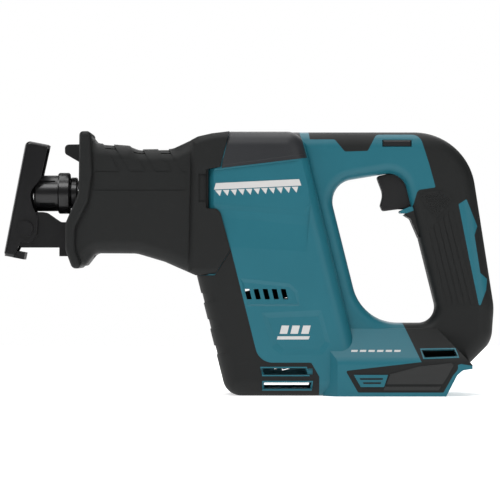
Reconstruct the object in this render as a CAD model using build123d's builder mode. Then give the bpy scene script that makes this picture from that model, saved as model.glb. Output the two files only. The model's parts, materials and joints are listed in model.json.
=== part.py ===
"""A compact cordless reciprocating saw with a D-handle, built as an assembly of separate pieces.

The frame: +X runs from the blade end to the heel of the handle, +Y is the tool's right side and +Z is
up. The origin is on the plane that the tool stands on, under its middle. Sizes are in millimetres.

The leaning parts, which are the motor, its chin, the grip and the hand opening, share one lean angle. A line
that leans is given by where it would meet the standing plane, and lean() gives its X at any height.
"""

import os
from math import cos, pi, radians, sin, tan

from build123d import *

os.makedirs("parts", exist_ok=True)

# ---------------------------------------------------------------- driving sizes
overall_height = 197.3  # standing plane to the crest
tail_x = 183.5  # heel of the grip
lean_angle = 14.0  # motor, chin and grip, from the vertical
body_half = 34.0  # half widths, across the tool
grip_half = 18.0
foot_half = 40.5
boot_half = 31.0
collar_half = 35.0
mouth_half = 36.0
wall = 3.2  # housing shell, overmould included
skin = 1.3  # overmoulded rubber
boot_wall = 3.2
fit_gap = 0.3  # clearance where a piece sits in another

# Stroke line and crank
axis_below_crest = 45.8  # stroke line, below the crest
crank_x = -4.0
stroke = 20.0
rod_radius = 5.8
roller_radius = 5.5
crank_pin_radius = 3.0
slot_play = 2.4  # each side of the roller: the open pivot of the crank linkage
gear_teeth = 43
pinion_teeth = 11
gear_pitch_radius = 27.5
mesh_width = 4.0  # radial width of the meshing teeth
tooth_height = 1.7
backlash = 1.0

# Motor, measured down its axis from the crank's centre
motor_radius = 25.0
rotor_radius = 13.0
upper_bearing_at = 38.0
baffle_at = 66.0
fan_at = 72.0
stator_at = 89.0
stator_length = 32.0
lower_bearing_at = 127.0
shaft_radius = 4.0
stator_teeth = 9
fan_blades = 11

# Blade clamp, along the stroke line
clamp_front_x = -162.0
sleeve_length = 18.0
sleeve_radius = 13.5
ring_length = 9.0
ring_radius = 15.5
seat_length = 5.0
seat_radius = 12.0
blade_slot_width = 1.8
blade_slot_height = 13.0

# Shoe
shoe_tilt = 11.0  # lean back of the shoe's face at rest
shoe_pin_x = -167.9
shoe_pin_below_axis = 26.7
shoe_pin_radius = 5.9
shoe_face_reach = 12.2  # pin to face
shoe_sheet = 2.5
shoe_slot_half = 4.6
shoe_travel = 25.0
bar_half = 14.5
bar_height = 19.1
bar_wall = 2.8
bar_tail_x = -52.0

# Trigger, lock-off and battery bay
trigger_travel = 6.0
trigger_half = 9.0
lock_travel = 4.0
bay_height = 19.5
bay_front_x = 74.0
bay_skirt = 3.0
rail_depth = 3.5

# ---------------------------------------------------------------- what follows from them
crest_z = overall_height
axis_z = crest_z - axis_below_crest
throw = stroke / 2
crank_pin_x = crank_x - throw
stator_end_at = stator_at + stator_length
pinion_pitch_radius = gear_pitch_radius * pinion_teeth / gear_teeth
tooth_pitch = 2 * pi * gear_pitch_radius / gear_teeth
bearing_radius = 11.0
shoe_pin_z = axis_z - shoe_pin_below_axis
shoe_half = bar_half + 0.7 + shoe_sheet
side = Plane.XZ


def lean(floor_x, z):
    """X at height z of the leaning line that meets the standing plane at floor_x."""
    return floor_x - z * tan(radians(lean_angle))


def below_crest(depth):
    """Height of a level that is given by its depth below the crest."""
    return crest_z - depth


def outline(corners, inset=0.0):
    """Flat side-view face of (x, z, corner radius) corners, drawn in from its edge by inset."""
    with BuildSketch(side) as face:
        with BuildLine():
            FilletPolyline(
                *[(x, z) for x, z, _ in corners],
                radius=[r for _, _, r in corners],
                close=True,
            )
        make_face()
        if inset:
            offset(amount=-inset, kind=Kind.INTERSECTION)
    return face.sketch


def prism(corners, half, inset=0.0, centre_y=0.0):
    """Side outline extruded across the tool, half each way from centre_y."""
    with BuildPart() as block:
        with BuildSketch(side.offset(-centre_y)):
            add(outline(corners, inset))
        extrude(amount=half, both=True)
    return block.part


def slab(corners, half, edge_round, inset=0.0, hole=None, hole_round=0.0):
    """Prism whose outer edges are rounded, drawn in on every side by inset."""
    with BuildPart() as block:
        with BuildSketch(side):
            add(outline(corners, inset))
            if hole:
                add(outline(hole, -inset), mode=Mode.SUBTRACT)
        extrude(amount=half - inset, both=True)
        for end in (0, -1):
            flank = block.faces().filter_by(Axis.Y).sort_by(Axis.Y)[end]
            fillet(flank.outer_wire().edges(), radius=edge_round - inset)
        if hole:
            for end in (0, -1):
                flank = block.faces().filter_by(Axis.Y).sort_by(Axis.Y)[end]
                fillet(flank.inner_wires()[0].edges(), radius=hole_round - inset)
    return block.part


def box_between(low, high):
    """Box from its lowest to its highest corner."""
    size = [b - a for a, b in zip(low, high)]
    middle = [(a + b) / 2 for a, b in zip(low, high)]
    return Pos(*middle) * Box(*size, mode=Mode.PRIVATE)


def rod_along(axis_name, start, end, radius, across=(0.0, 0.0)):
    """Cylinder along X or Y from start to end; across is its place in the other two axes, in order."""
    length = end - start
    middle = (start + end) / 2
    if axis_name == "X":
        return Pos(middle, *across) * Rot(0, 90, 0) * Cylinder(radius, length, mode=Mode.PRIVATE)
    bar = Cylinder(radius, length, mode=Mode.PRIVATE)
    return Pos(across[0], middle, across[1]) * Rot(90, 0, 0) * bar


def motor_plane(distance):
    """Plane across the motor's axis, at a distance down it from the crank's centre."""
    a = radians(lean_angle)
    origin = (crank_x + distance * sin(a), 0, axis_z - distance * cos(a))
    return Plane(origin=origin, x_dir=(cos(a), 0, sin(a)), z_dir=(sin(a), 0, -cos(a)))


def motor_disc(start, end, radius, bore=0.0):
    """Disc or ring about the motor's axis."""
    with BuildPart() as disc:
        with BuildSketch(motor_plane(start)):
            Circle(radius)
            if bore:
                Circle(bore, mode=Mode.SUBTRACT)
        extrude(amount=end - start)
    return disc.part


def left_half():
    return box_between((-300, -100, -50), (300, 0, 300))


def right_half():
    return box_between((-300, 0, -50), (300, 100, 300))


def export_piece(builder, name):
    """Labels a finished piece and writes its STEP file."""
    builder.part.label = name
    export_step(builder.part, f"parts/{name}.step")


# ---------------------------------------------------------------- side outlines: (x, z, corner radius)
opening_floor_x = 98.0  # front line of the hand opening
grip_floor_x = 156.5  # front line of the grip
chin_floor_x = -17.0  # front line of the chin
core_floor_x = 88.0  # back of the wide body
foot_shoulder_z = 23.5
opening_bottom_z = 53.8
housing_front_x = -32.0

core_side = [
    (housing_front_x, crest_z, 5),
    (lean(core_floor_x, crest_z), crest_z, 14),
    (lean(core_floor_x, foot_shoulder_z), foot_shoulder_z, 0),
    (core_floor_x, 0, 0),
    (chin_floor_x, 0, 14),
    (lean(chin_floor_x, below_crest(104)), below_crest(104), 0),
    (housing_front_x, below_crest(93), 0),
]
ring_side = [
    (lean(80, crest_z), crest_z, 0),
    (tail_x - 20.1, crest_z, 46),
    (tail_x + 0.4, 66, 40),
    (tail_x - 1.5, 40, 20),
    (tail_x - 17.9, foot_shoulder_z, 0),
    (70, foot_shoulder_z, 0),
]
hand_opening = [
    (lean(opening_floor_x, below_crest(38.5)), below_crest(38.5), 17),
    (lean(grip_floor_x, below_crest(29.1)), below_crest(29.1), 14),
    (lean(grip_floor_x, opening_bottom_z), opening_bottom_z, 12),
    (lean(opening_floor_x, opening_bottom_z), opening_bottom_z, 35),
]
foot_side = [
    (45, -5, 0),
    (tail_x - 40, -5, 0),
    (tail_x - 29.5, bay_height - 4, 4),
    (tail_x - 25, bay_height, 4),
    (tail_x - 17.9, bay_height + 1, 0),
    (tail_x - 17.9, foot_shoulder_z, 0),
    (tail_x - 52.5, 60, 0),
    (45, 60, 0),
]
boot_side = [
    (-127.4, below_crest(9), 3),
    (-112.0, below_crest(8.8), 12),
    (-89.0, below_crest(10.5), 12),
    (-82.0, below_crest(13.2), 12),
    (-57.5, below_crest(12.9), 12),
    (-38.5, below_crest(4.0), 14),
    (-20.0, below_crest(0.6), 0),
    (-20.0, below_crest(107.0), 0),
    (-40.0, below_crest(107.6), 6),
    (-63.5, below_crest(97.3), 16),
    (-84.0, below_crest(91.2), 20),
    (-127.4, below_crest(90.8), 3),
]
boot_flared_side = [
    (-140.0, below_crest(0.8), 3),
    (-120.0, below_crest(0.8), 3),
    (-113.5, below_crest(8.6), 6),
    *boot_side[2:-1],
    (-115.0, below_crest(91.0), 6),
    (-122.5, below_crest(100.5), 3),
    (-140.0, below_crest(100.5), 3),
]
behind_mouth = [
    (-122.3, below_crest(-3), 0),
    (-122.0, below_crest(30), 0),
    (-123.4, below_crest(49), 0),
    (-133.4, below_crest(70.5), 0),
    (-133.4, below_crest(88), 0),
    (-128.0, below_crest(104), 0),
    (0, below_crest(112), 0),
    (0, below_crest(-3), 0),
]
collar_side = [
    (-44.0, below_crest(6.5), 0),
    (-38.5, below_crest(3.6), 0),
    (-28.0, below_crest(1.2), 0),
    (-14.6, below_crest(-0.4), 0),
    (-21.7, below_crest(26.9), 0),
    (-32.1, below_crest(28.7), 1),
    (-32.1, below_crest(57.3), 1),
    (-24.5, below_crest(57.5), 3),
    (-21.3, below_crest(60.5), 3),
    (-13.8, below_crest(88.5), 0),
    (-25.8, below_crest(107.3), 0),
    (-40.0, below_crest(107.7), 0),
    (-46.0, below_crest(105.0), 0),
]
collar_block_side = [
    *collar_side[:4],
    (4.0, below_crest(-0.4), 0),
    (4.0, below_crest(107.3), 0),
    *collar_side[-2:],
]
mouth_side = [
    (-126.6, below_crest(0), 3),
    (-118.0, below_crest(0), 3),
    (-116.5, below_crest(30), 0),
    (-119.5, below_crest(52), 14),
    (-129.5, below_crest(72), 12),
    (-129.5, below_crest(88), 10),
    (-124.0, below_crest(102.3), 3),
    (-132.0, below_crest(102.3), 4),
    (-137.2, below_crest(88), 12),
    (-137.2, below_crest(69), 10),
    (-127.2, below_crest(46), 20),
]

# Overmould regions, cut out of the form's skin
grip_region = [
    (43.7, below_crest(-5), 0),
    (45.2, below_crest(5.6), 0),
    (63.9, below_crest(5.6), 2),
    (71.4, below_crest(14.8), 2),
    (88.6, below_crest(14.3), 2),
    (95.0, below_crest(1.9), 4),
    (127.5, below_crest(1.9), 8),
    (134.9, below_crest(25), 6),
    (139.4, below_crest(41.6), 1),
    (126.0, below_crest(43.5), 4),
    (122.5, below_crest(56.0), 8),
    (108.0, below_crest(66.0), 0),
    (114.0, opening_bottom_z + 2, 0),
    (127.6, 25.8, 0),
    (150, 22.0, 0),
    (tail_x - 26.5, 24.2, 0),
    (tail_x - 17.5, 22.8, 0),
    (tail_x + 20, 15, 0),
    (tail_x + 20, below_crest(-5), 0),
]
inlay_region = [
    (156.6, below_crest(54.2), 0.8),
    (162.6, below_crest(50.4), 0.8),
    (170.8, below_crest(70.6), 0.8),
    (168.6, below_crest(77.3), 0.8),
    (173.0, below_crest(105.7), 0.8),
    (178.3, below_crest(110.2), 0.8),
    (177.5, below_crest(118.4), 0.8),
    (172.3, below_crest(131.9), 0.8),
    (164.8, below_crest(96.0), 4),
]
bumper_region = [
    (-60, below_crest(88.0), 0),
    (lean(13.4, below_crest(88.0)), below_crest(88.0), 0),
    (lean(13.4, 25.0), 25.0, 13),
    (46.0, 25.0, 1.5),
    (52.0, 14.6, 1.5),
    (52.0, -5, 0),
    (-60, -5, 0),
]
pad_region = [
    (71.4, 19.1, 1),
    (127.4, 25.6, 0),
    (151.4, 28.6, 4),
    (tail_x - 27.5, 21.5, 5),
    (tail_x - 32.5, 15.5, 4),
    (tail_x - 39.5, 3.0, 1),
    (80.6, 3.0, 2),
]
crest_region = [
    (-14.0, below_crest(-5), 0),
    (37.7, below_crest(-5), 0),
    (37.7, below_crest(1.1), 0),
    (43.0, below_crest(19.8), 0.5),
    (-20.8, below_crest(27.4), 0.5),
]


# Shallow recesses
recess = 0.8
boot_band = [
    (-116.0, below_crest(29.5), 2),
    (-47.0, below_crest(29.5), 2),
    (-47.0, below_crest(44.3), 2),
    (-118.0, below_crest(44.3), 2),
]
flute_pitch = 19.4
boot_flute = [
    (-111.0, below_crest(7.0), 0),
    (-96.5, below_crest(30.5), 0),
    (-88.5, below_crest(30.5), 0),
    (-103.0, below_crest(7.0), 0),
]
bumper_notches = [
    [
        (lean(-22, z), z, 0),
        (lean(-8.5, z - 1), z - 1, 1),
        (lean(-7, z - 6), z - 6, 1),
        (lean(-22, z - 9), z - 9, 0),
    ]
    for z in (77.0, 57.5, 38.0)
]

# Sunk panels in the flanks: floor outline, rim outline, depth of the floor, depth of the rim
upper_flank = [
    [(-37, 173.8), (46, 182.0), (45.2, 126.7), (-37, 134.9)],
    [(-37, 177.5), (49.7, 185.0), (42.2, 105.8), (-37, 111.0)],
    1.2,
    -0.1,
]
mark_panel = [
    [(-31.0, 167.4), (42.2, 176.4), (44.2, 143.1), (40.7, 138.3), (-31.0, 143.5)],
    [(-31.8, 168.4), (43.7, 177.4), (45.6, 142.4), (41.1, 133.4), (-31.8, 139.8)],
    2.0,
    1.1,
]
vent_panel = [
    [(-4.9, 84.8), (29.5, 81.1), (33.3, 77.4), (36.3, 68.4), (0.4, 68.4)],
    [(-7.1, 88.2), (30.3, 84.1), (36.3, 78.1), (37.7, 66.9), (-1.9, 66.9)],
    0.9,
    -0.1,
]
motor_panel = [
    [(13.8, 58.3), (51.2, 59.4), (56.4, 40.7), (52.0, 34.8), (25.8, 34.8), (20.6, 39.2)],
    [(8.6, 62.4), (53.4, 64.7), (60.9, 39.2), (54.2, 30.3), (23.5, 30.3), (16.1, 36.3)],
    1.1,
    -0.1,
]


def sunk_panel(floor, rim, floor_depth, rim_depth):
    """Cutter for one shallow panel on each flank, with sides that slope from its floor up to its rim."""
    with BuildPart() as cutter:
        for sign in (-1, 1):
            with BuildSketch(side.offset(-sign * (body_half - floor_depth))):
                with BuildLine():
                    Polyline(*floor, close=True)
                make_face()
            with BuildSketch(side.offset(-sign * (body_half - rim_depth))):
                with BuildLine():
                    Polyline(*rim, close=True)
                make_face()
            loft(ruled=True)
    return cutter.part


def foot_block(inset):
    """Wide foot with sloping shoulders, around the battery bay."""
    reach = 200.0
    nose_half = foot_half - 12
    with BuildPart() as plan:
        with BuildSketch(Plane.XY.offset(-10)):
            Polygon(
                (55 + inset, nose_half),
                (55 + inset, -nose_half),
                (68 + inset, -foot_half - 3),
                (55 + reach, -foot_half - 3),
                (55 + reach, foot_half + 3),
                (68 + inset, foot_half + 3),
                align=None,
            )
        extrude(amount=80)
    with BuildPart() as section:
        with BuildSketch(Plane.YZ.offset(40)):
            with BuildLine():
                FilletPolyline(
                    (-foot_half + inset, inset),
                    (-foot_half + inset, 27 - inset / 2),
                    (-grip_half + inset, 50 - inset),
                    (grip_half - inset, 50 - inset),
                    (foot_half - inset, 27 - inset / 2),
                    (foot_half - inset, inset),
                    radius=[1, 8, 0.5, 0.5, 8, 1],
                    close=True,
                )
            make_face()
        extrude(amount=reach)
    return section.part & plan.part & prism(foot_side, 60, inset)


def envelope(inset):
    """The housing's form, drawn in on every side by inset."""
    core = slab(core_side, body_half, 12, inset)
    ring = slab(ring_side, grip_half, 12, inset, hand_opening, 8)
    return core + ring + foot_block(inset)


def mid_rib(start, end, bore, width):
    """Rib across the motor's axis that fills the housing from side to side around a bore."""
    with BuildPart() as rib:
        with BuildSketch(motor_plane(start)):
            Rectangle(width, 2 * body_half)
            Circle(bore, mode=Mode.SUBTRACT)
        extrude(amount=end - start)
    return rib.part & room


# ---------------------------------------------------------------- bodies of the form
form = envelope(0)
under_skin = envelope(skin)
skin_layer = form - under_skin
bay_cut = box_between((bay_front_x, bay_skirt - foot_half, -1), (300, foot_half - bay_skirt, bay_height))
bay_keep = box_between((bay_front_x - wall, -100, -1), (300, 100, bay_height + wall))
room = envelope(wall) - bay_keep

boot_form = (
    (slab(boot_flared_side, boot_half, 10) & prism(behind_mouth, 60))
    + (slab(collar_block_side, collar_half, 6) & prism(collar_side, 60, fit_gap))
    + slab(mouth_side, mouth_half, 3)
)
boot_room = prism(boot_side, boot_half - boot_wall, boot_wall) + prism(
    collar_side, collar_half - boot_wall, boot_wall
)

# ---------------------------------------------------------------- gear case
case_radius = gear_pitch_radius + mesh_width / 2 + 4.6
case_wall = 3.3
case_left_y = -15.0
cover_thickness = 3.0
disc_left_y = pinion_pitch_radius + tooth_height / 2 + 0.15
disc_right_y = disc_left_y + 6
case_floor_y = disc_right_y + 1
nose_front_x = -106.0
nose_radius = 19.5
bush_radius = 8.5
rear_bush_front_x = -50.0
front_bush_front_x = -104.0
neck_radius = 15.0
guide_top_z = axis_z - 21.5
guide_bottom_z = guide_top_z - 18
bolt_x = -88.0
bolt_z = axis_z - 31.1
boss_spots = [
    (crank_x + (case_radius + 2.3) * cos(radians(a)), axis_z + (case_radius + 2.3) * sin(radians(a)))
    for a in (45, 135, 225, 315)
]
crank_at = (crank_x, axis_z)
neck_bore = motor_disc(16, upper_bearing_at, pinion_pitch_radius + 2.0)

with BuildPart() as gear_case:
    add(rod_along("Y", case_left_y, case_floor_y + 3.5, case_radius, crank_at))
    for spot in boss_spots:
        add(rod_along("Y", case_left_y, case_floor_y + 3.5, 4, spot))
    add(rod_along("X", nose_front_x, crank_x - 26, nose_radius, (0, axis_z)))
    add(
        box_between(
            (nose_front_x + 4, -bar_half - 5, guide_bottom_z), (-62, bar_half + 5, guide_top_z + 6)
        )
    )
    add(rod_along("Y", case_floor_y, case_floor_y + 13.5, 15, crank_at))
    add(motor_disc(24, upper_bearing_at + 12, neck_radius))
    add(rod_along("Y", case_left_y - 30, case_floor_y, case_radius - case_wall, crank_at), mode=Mode.SUBTRACT)
    add(rod_along("Y", case_left_y - 30, case_left_y, case_radius + 0.3, crank_at), mode=Mode.SUBTRACT)
    add(rod_along("Y", case_floor_y, case_floor_y + 12, bearing_radius, crank_at), mode=Mode.SUBTRACT)
    add(rod_along("X", -88, rear_bush_front_x, 12, (0, axis_z)), mode=Mode.SUBTRACT)
    add(rod_along("X", nose_front_x, -40, bush_radius, (0, axis_z)), mode=Mode.SUBTRACT)
    add(rod_along("X", -41, crank_x, rod_radius + 1, (0, axis_z)), mode=Mode.SUBTRACT)
    add(neck_bore, mode=Mode.SUBTRACT)
    add(motor_disc(upper_bearing_at, upper_bearing_at + 13, bearing_radius), mode=Mode.SUBTRACT)
    add(
        box_between(
            (-120, -bar_half - fit_gap, 80), (-50, bar_half + fit_gap, guide_top_z)
        ),
        mode=Mode.SUBTRACT,
    )
    add(rod_along("Y", -40, 40, 2.6, (bolt_x, bolt_z)), mode=Mode.SUBTRACT)
    for spot in boss_spots:
        add(rod_along("Y", case_left_y - 1, case_left_y + 12, 1.5, spot), mode=Mode.SUBTRACT)
export_piece(gear_case, "gear_case")

with BuildPart() as gear_case_cover:
    add(rod_along("Y", case_left_y - cover_thickness, case_left_y, case_radius, crank_at))
    for spot in boss_spots:
        add(rod_along("Y", case_left_y - cover_thickness, case_left_y, 4, spot))
    add(rod_along("Y", case_left_y, case_left_y + 1.5, case_radius - case_wall - 0.1, crank_at))
    add(rod_along("Y", case_left_y, case_left_y + 3, 22, crank_at), mode=Mode.SUBTRACT)
    for spot in boss_spots:
        add(rod_along("Y", -30, 0, 1.8, spot), mode=Mode.SUBTRACT)
export_piece(gear_case_cover, "gear_case_cover")

with BuildPart() as gear_case_screws:
    for spot in boss_spots:
        cover_y = case_left_y - cover_thickness
        add(rod_along("Y", cover_y, case_left_y + 10, 1.5, spot))
        add(rod_along("Y", cover_y - 2.2, cover_y, 3, spot))
        add(rod_along("Y", cover_y - 3, cover_y - 1, 1.2, spot), mode=Mode.SUBTRACT)
export_piece(gear_case_screws, "gear_case_screws")

with BuildPart() as shoe_clamp_bolt:
    add(rod_along("Y", -bar_half - 5, bar_half + 5, 2.5, (bolt_x, bolt_z)))
    add(rod_along("Y", bar_half + 5, bar_half + 9, 4.5, (bolt_x, bolt_z)))
    add(rod_along("Y", bar_half + 6.5, bar_half + 10, 2, (bolt_x, bolt_z)), mode=Mode.SUBTRACT)
    add(rod_along("Y", -bar_half - 8, -bar_half - 5, 4.3, (bolt_x, bolt_z)))
export_piece(shoe_clamp_bolt, "shoe_clamp_bolt")

# ---------------------------------------------------------------- crank
crank_axis = Axis((crank_x, 0, axis_z), (0, 1, 0))
inner_mesh = gear_pitch_radius - mesh_width / 2
outer_mesh = gear_pitch_radius + mesh_width / 2
tooth_tip_y = pinion_pitch_radius - tooth_height / 2 + 0.15
tooth_width = (tooth_pitch - backlash) / 2

with BuildPart(mode=Mode.PRIVATE) as gear_tooth:
    with BuildSketch(Plane(origin=(crank_x, 0, axis_z - inner_mesh), x_dir=(1, 0, 0), z_dir=(0, 0, -1))):
        with BuildLine():
            Polyline(
                (-tooth_width / 2 - 0.35, -disc_left_y),
                (-tooth_width / 2 + 0.35, -tooth_tip_y),
                (tooth_width / 2 - 0.35, -tooth_tip_y),
                (tooth_width / 2 + 0.35, -disc_left_y),
                close=True,
            )
        make_face()
    extrude(amount=mesh_width)

with BuildPart() as crank_gear:
    add(rod_along("Y", disc_left_y, disc_right_y, outer_mesh, crank_at))
    for k in range(gear_teeth):
        turn = lean_angle + (k + 0.5) * 360 / gear_teeth
        add(gear_tooth.part.rotate(crank_axis, -turn))
    add(rod_along("Y", 0, 30, 5, crank_at), mode=Mode.SUBTRACT)
    add(rod_along("Y", 0, 30, crank_pin_radius, (crank_pin_x, axis_z)), mode=Mode.SUBTRACT)
export_piece(crank_gear, "crank_gear")

with BuildPart() as crank_shaft:
    add(rod_along("Y", disc_left_y, case_floor_y + 11.8, 5, crank_at))
export_piece(crank_shaft, "crank_shaft")

with BuildPart() as crank_pin:
    add(rod_along("Y", -7, disc_right_y, crank_pin_radius, (crank_pin_x, axis_z)))
    add(rod_along("Y", -7, -5.6, 4.5, (crank_pin_x, axis_z)))
export_piece(crank_pin, "crank_pin")

with BuildPart() as crank_roller:
    add(rod_along("Y", -5.4, 5.4, roller_radius, (crank_pin_x, axis_z)))
    add(rod_along("Y", -6, 6, crank_pin_radius + 0.05, (crank_pin_x, axis_z)), mode=Mode.SUBTRACT)
export_piece(crank_roller, "crank_roller")

with BuildPart() as crank_bearings:
    for start in (case_floor_y + 0.6, case_floor_y + 6.4):
        add(rod_along("Y", start, start + 5, bearing_radius, crank_at))
    add(rod_along("Y", 0, 60, 5.03, crank_at), mode=Mode.SUBTRACT)
export_piece(crank_bearings, "crank_bearings")

# ---------------------------------------------------------------- slider and blade clamp
yoke_half = roller_radius + slot_play + 3.4
yoke_reach = throw + roller_radius + 3
clamp_sleeve_end_x = clamp_front_x + sleeve_length
holder_radius = 9.6
holder_end_x = clamp_sleeve_end_x + ring_length + seat_length + 1

with BuildPart() as yoke:
    with BuildSketch(side):
        with Locations((crank_pin_x, axis_z)):
            RectangleRounded(2 * yoke_half, 2 * yoke_reach, 5)
            RectangleRounded(
                2 * (roller_radius + slot_play),
                2 * (throw + roller_radius + 0.6),
                1.2,
                mode=Mode.SUBTRACT,
            )
    extrude(amount=5, both=True)
export_piece(yoke, "yoke")

with BuildPart() as slider_rod:
    add(rod_along("X", holder_end_x, crank_pin_x - yoke_half, rod_radius, (0, axis_z)))
export_piece(slider_rod, "slider_rod")

with BuildPart() as slider_bush_rear:
    add(rod_along("X", rear_bush_front_x, -40, bush_radius, (0, axis_z)))
    add(rod_along("X", -60, -30, rod_radius + 0.05, (0, axis_z)), mode=Mode.SUBTRACT)
export_piece(slider_bush_rear, "slider_bush_rear")

with BuildPart() as slider_bush_front:
    add(rod_along("X", front_bush_front_x, -88, bush_radius, (0, axis_z)))
    add(rod_along("X", -110, -80, rod_radius + 0.05, (0, axis_z)), mode=Mode.SUBTRACT)
export_piece(slider_bush_front, "slider_bush_front")

with BuildPart() as dust_seal:
    add(rod_along("X", nose_front_x + 0.2, front_bush_front_x, bush_radius, (0, axis_z)))
    add(rod_along("X", -110, -80, rod_radius + 0.3, (0, axis_z)), mode=Mode.SUBTRACT)
export_piece(dust_seal, "dust_seal")

with BuildPart() as blade_holder:
    add(rod_along("X", clamp_front_x + 1, holder_end_x, holder_radius, (0, axis_z)))
    chamfer(blade_holder.faces().sort_by(Axis.X)[0].edges(), 1)
    add(
        box_between(
            (clamp_front_x - 1, -blade_slot_width / 2, axis_z - blade_slot_height / 2),
            (clamp_front_x + 20, blade_slot_width / 2, axis_z + blade_slot_height / 2),
        ),
        mode=Mode.SUBTRACT,
    )
    add(rod_along("Y", -20, 0, 2, (clamp_front_x + 10, axis_z)), mode=Mode.SUBTRACT)
export_piece(blade_holder, "blade_holder")

with BuildPart() as clamp_pin:
    add(rod_along("Y", -holder_radius, -blade_slot_width / 2 - 0.2, 2, (clamp_front_x + 10, axis_z)))
export_piece(clamp_pin, "clamp_pin")

with BuildPart() as clamp_sleeve:
    add(rod_along("X", clamp_front_x, clamp_sleeve_end_x, sleeve_radius, (0, axis_z)))
    chamfer(clamp_sleeve.faces().sort_by(Axis.X)[0].edges(), 1.5)
    add(rod_along("X", clamp_front_x - 1, clamp_sleeve_end_x, holder_radius + 0.4, (0, axis_z)), mode=Mode.SUBTRACT)
    for turn in (-38, 38, 142, 218):
        groove = box_between(
            (clamp_front_x + 4, sleeve_radius - 1, axis_z - 1.4),
            (clamp_sleeve_end_x - 2, sleeve_radius + 2, axis_z + 1.4),
        )
        add(groove.rotate(Axis((0, 0, axis_z), (1, 0, 0)), turn), mode=Mode.SUBTRACT)
export_piece(clamp_sleeve, "clamp_sleeve")

with BuildPart() as clamp_ring:
    add(rod_along("X", clamp_sleeve_end_x, clamp_sleeve_end_x + ring_length, ring_radius, (0, axis_z)))
    chamfer(clamp_ring.edges().filter_by(GeomType.CIRCLE), 1)
    add(
        rod_along("X", clamp_sleeve_end_x, clamp_sleeve_end_x + ring_length, ring_radius - 2.9, (0, axis_z)),
        mode=Mode.SUBTRACT,
    )
export_piece(clamp_ring, "clamp_ring")

with BuildPart() as clamp_spring:
    with BuildLine():
        coil = Helix(
            pitch=2,
            height=6,
            radius=holder_radius + 1.6,
            center=(clamp_sleeve_end_x + 1.5, 0, axis_z),
            direction=(1, 0, 0),
        )
    with BuildSketch(Plane(origin=coil @ 0, z_dir=coil % 0)):
        Circle(0.7)
    sweep()
export_piece(clamp_spring, "clamp_spring")

with BuildPart() as clamp_seat:
    seat_start = clamp_sleeve_end_x + ring_length + 0.5
    add(rod_along("X", seat_start, seat_start + seat_length, seat_radius, (0, axis_z)))
    chamfer(clamp_seat.edges().filter_by(GeomType.CIRCLE), 0.8)
    add(rod_along("X", seat_start, seat_start + seat_length, holder_radius, (0, axis_z)), mode=Mode.SUBTRACT)
export_piece(clamp_seat, "clamp_seat")

# ---------------------------------------------------------------- shoe and its bar
bar_bottom_z = shoe_pin_z - 14.2
bar_top_z = bar_bottom_z + bar_height
shoe_inner = bar_half + 0.7
bar_side = [
    (shoe_pin_x - 3.5, bar_bottom_z, 1),
    (bar_tail_x, bar_bottom_z, 1),
    (bar_tail_x, bar_top_z, 1),
    (-142.5, bar_top_z, 6),
    (-153.5, shoe_pin_z + 12.5, 6),
    (shoe_pin_x + 1, shoe_pin_z + 12.5, 5),
    (shoe_pin_x - 8.6, shoe_pin_z + 3, 5),
    (shoe_pin_x - 8.6, shoe_pin_z - 4, 5),
]
shoe_side = [
    (-12.2, -23, 3),
    (-5.0, -23, 0),
    (-1.5, -11.0, 0),
    (6.0, -9.5, 6),
    (9.5, -2, 6),
    (7.6, 10, 4),
    (2.0, 17.5, 1),
    (-2.4, 27, 9),
    (3.9, 38.5, 1),
    (4.6, 65, 0),
    (-12.2, 65, 4),
]

with BuildPart() as shoe_bar:
    add(prism(bar_side, bar_half))
    add(
        box_between(
            (-200, -bar_half + bar_wall, bar_bottom_z + bar_wall), (0, bar_half - bar_wall, 200)
        ),
        mode=Mode.SUBTRACT,
    )
    add(box_between((-143, -8, bar_bottom_z - 6.5), (-136, 8, bar_bottom_z)))
    with BuildSketch(side):
        with Locations((bolt_x + shoe_travel / 2, bolt_z)):
            SlotCenterToCenter(shoe_travel + 0.6, 5.8)
    extrude(amount=40, both=True, mode=Mode.SUBTRACT)
    add(rod_along("Y", -40, 40, 3, (shoe_pin_x, shoe_pin_z)), mode=Mode.SUBTRACT)
export_piece(shoe_bar, "shoe_bar")

with BuildPart() as shoe_pin:
    add(rod_along("Y", -shoe_half - 2, shoe_half + 2, 3, (shoe_pin_x, shoe_pin_z)))
    for start in (-shoe_half - 2.2, shoe_half + 0.2):
        add(rod_along("Y", start, start + 2, shoe_pin_radius, (shoe_pin_x, shoe_pin_z)))
export_piece(shoe_pin, "shoe_pin")

with BuildPart() as shoe_plate:
    add(Pos(shoe_pin_x, 0, shoe_pin_z) * prism(shoe_side, shoe_half))
    fillet(shoe_plate.edges().filter_by(Axis.Z).sort_by(Axis.X)[:2], radius=2.4)
    add(
        Pos(shoe_pin_x, 0, shoe_pin_z)
        * box_between((-shoe_face_reach + shoe_sheet, -shoe_inner, -60), (60, shoe_inner, 65 - shoe_sheet)),
        mode=Mode.SUBTRACT,
    )
    add(
        Pos(shoe_pin_x, 0, shoe_pin_z)
        * box_between((-shoe_face_reach + 0.6, -shoe_half + 4, -23), (3, shoe_half - 4, -17.6))
    )
    add(
        Pos(shoe_pin_x, 0, shoe_pin_z)
        * box_between((-20, -shoe_slot_half, 12), (-5, shoe_slot_half, 56)),
        mode=Mode.SUBTRACT,
    )
    add(rod_along("Y", -40, 40, 3.06, (shoe_pin_x, shoe_pin_z)), mode=Mode.SUBTRACT)
shoe_plate.part = shoe_plate.part.rotate(Axis((shoe_pin_x, 0, shoe_pin_z), (0, 1, 0)), shoe_tilt)
export_piece(shoe_plate, "shoe_plate")

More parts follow.
